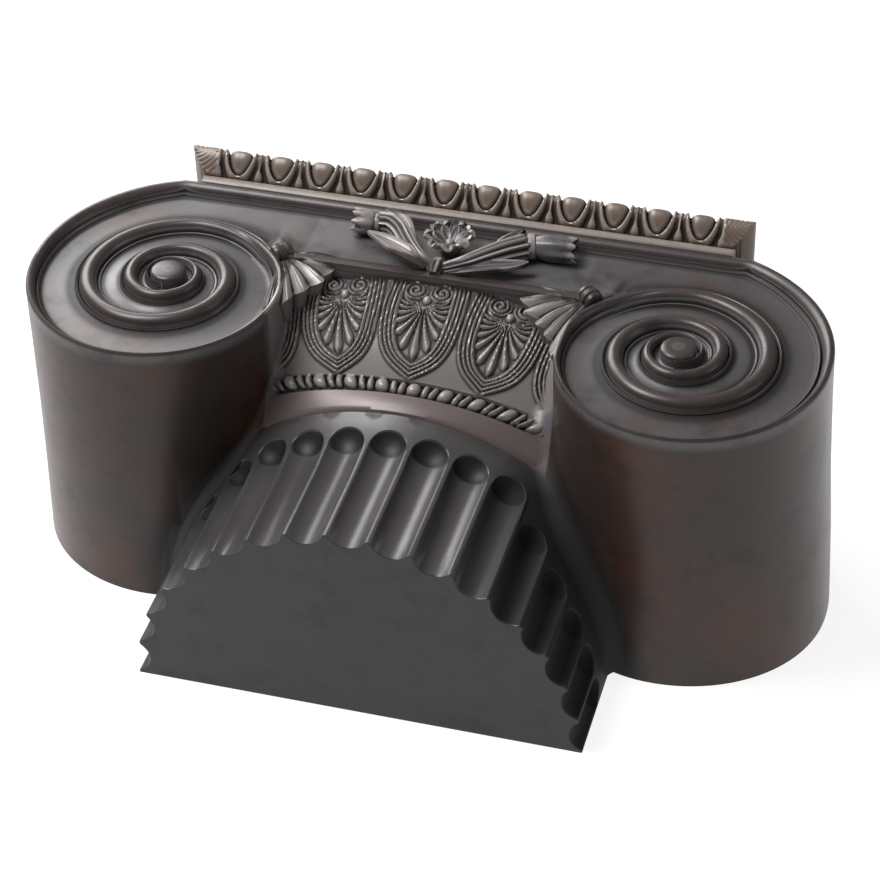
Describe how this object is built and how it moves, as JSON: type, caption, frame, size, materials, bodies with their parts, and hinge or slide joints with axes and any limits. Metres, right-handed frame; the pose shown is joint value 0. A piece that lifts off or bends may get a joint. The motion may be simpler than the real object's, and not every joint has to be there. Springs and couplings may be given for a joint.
{
  "type": "half column capital",
  "caption": "Half of an Ionic column capital in dark patinated cast bronze, cut flat through the axis, with scrolled volutes, fluted shaft end and carved mouldings.",
  "frame": {"origin": "middle of the flat back that the part lies on", "axes": "+X along the face from one volute to the other, +Y up the column from the cut shaft to the abacus, +Z out of the capital's front"},
  "size_m": [0.4974, 0.2686, 0.2085],
  "materials": {
    "bronze": "cast bronze with a dark brown patina, satin, worn paler on the edges"
  },
  "bodies": {
    "root": {"capital": "bronze"}
  },
  "joints": []
}
